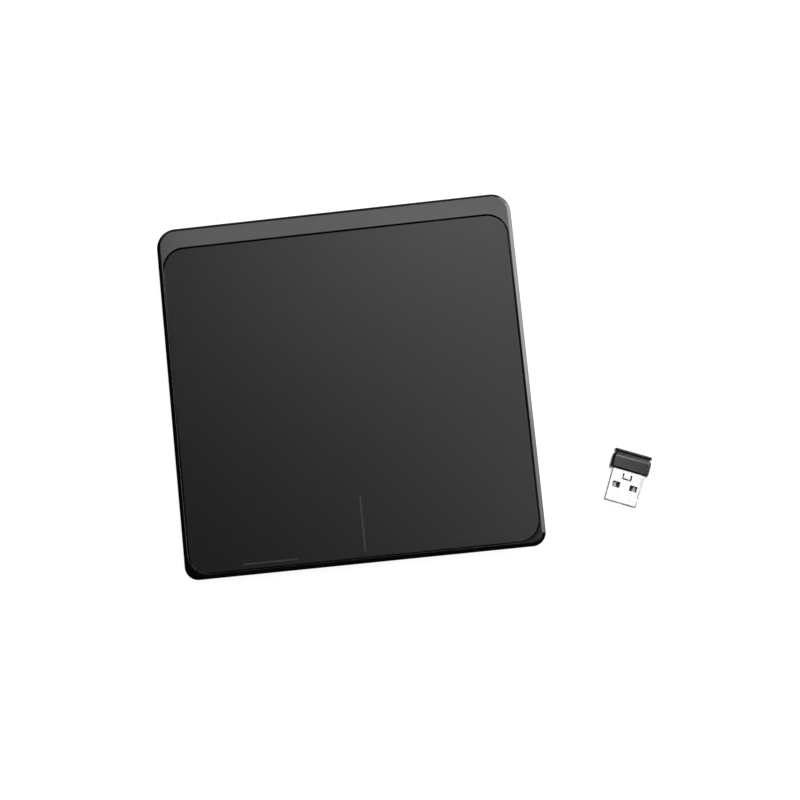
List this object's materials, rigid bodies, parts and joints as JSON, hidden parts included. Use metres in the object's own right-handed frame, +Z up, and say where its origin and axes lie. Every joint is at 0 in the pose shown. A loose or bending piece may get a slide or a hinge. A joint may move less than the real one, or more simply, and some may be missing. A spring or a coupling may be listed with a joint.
{
  "type": "wireless touchpad with usb receiver",
  "caption": "Square wedge-shaped wireless touchpad with a touch plate that tilts and clicks, a battery door and power switch underneath, and a small USB plug receiver beside it.",
  "frame": {"origin": "on the desk, under the middle of the box round the touchpad and the receiver beside it", "axes": "+X to the right, from the touchpad towards the receiver; +Y away from the user, towards the raised back; +Z up"},
  "size_m": [0.1701, 0.1273, 0.0177],
  "materials": {
    "cover_plastic": "moulded, fine matte texture",
    "touch_glass": "etched satin glass, printed black on the back",
    "adhesive_film": "adhesive film",
    "circuit_board": "green solder mask",
    "socket_plastic": "moulded nylon",
    "carrier_metal": "stamped and milled, black anodised",
    "pin_steel": "ground steel",
    "case_plastic": "moulded, spark-eroded texture",
    "shield_steel": "tin-plated sheet",
    "chip_plastic": "moulded epoxy",
    "small_parts": "ceramic and ferrite parts",
    "ribbon_film": "laminated film",
    "plunger_plastic": "moulded nylon",
    "knob_plastic": "moulded, satin",
    "cell_sleeve": "plastic sleeve over a metal can",
    "contact_steel": "nickel-plated spring steel",
    "lead_insulation": "extruded insulation",
    "foot_rubber": "moulded silicone rubber",
    "screw_steel": "black zinc",
    "cap_plastic": "moulded, satin",
    "plug_steel": "nickel-plated drawn sheet",
    "tongue_plastic": "moulded, black",
    "contact_plating": "palladium-nickel plated strips"
  },
  "bodies": {
    "housing": {"top_cover": "cover_plastic", "hinge_pins": "pin_steel", "bottom_case": "case_plastic", "main_board": "circuit_board", "radio_shield": "shield_steel", "controller_chip": "chip_plastic", "board_parts": "small_parts", "board_socket": "socket_plastic", "ribbon_cable": "ribbon_film", "switch_body_left": "chip_plastic", "switch_body_right": "chip_plastic", "power_switch_body": "shield_steel", "battery_left": "cell_sleeve", "battery_right": "cell_sleeve", "negative_contact": "contact_steel", "positive_contact": "contact_steel", "battery_leads": "lead_insulation", "rubber_feet": "foot_rubber", "case_screws": "screw_steel"},
    "touch_plate": {"touch_sheet": "touch_glass", "sheet_adhesive": "adhesive_film", "sensor_board": "circuit_board", "sensor_socket": "socket_plastic", "carrier_plate": "carrier_metal"},
    "plunger_left": {"plunger_left": "plunger_plastic"},
    "plunger_right": {"plunger_right": "plunger_plastic"},
    "battery_door": {"battery_door": "case_plastic"},
    "power_knob": {"power_knob": "knob_plastic"},
    "receiver": {"receiver_cap": "cap_plastic", "usb_shell": "plug_steel", "usb_tongue": "tongue_plastic", "usb_contacts": "contact_plating", "receiver_board": "circuit_board", "receiver_chip": "chip_plastic"}
  },
  "joints": [
    {"name": "plate_press", "type": "hinge", "parent": "housing", "child": "touch_plate", "pos_m": [-0.02044, 0.05803, 0.01332], "axis": [1, 0, 0], "range_deg": [0, 0.2396], "stiffness_Nm_per_rad": 17.6, "springref_deg": -0.25},
    {"name": "left_click", "type": "slide", "parent": "housing", "child": "plunger_left", "axis": [0, 0, -1], "range_m": [0, 0.000439]},
    {"name": "right_click", "type": "slide", "parent": "housing", "child": "plunger_right", "axis": [0, 0, -1], "range_m": [0, 0.000439]},
    {"name": "door_slide", "type": "slide", "parent": "housing", "child": "battery_door", "axis": [0, 1, 0], "range_m": [0, 0.0222]},
    {"name": "power_slide", "type": "slide", "parent": "housing", "child": "power_knob", "axis": [1, 0, 0], "range_m": [0, 0.0025]},
    {"name": "receiver_lift", "type": "slide", "parent": "housing", "child": "receiver", "axis": [0, 0, 1], "range_m": [0, 0.05]}
  ],
  "couplings": [
    {"joint": "left_click", "follows": "plate_press", "m_per_rad": 0.10403},
    {"joint": "right_click", "follows": "plate_press", "m_per_rad": 0.10403}
  ]
}
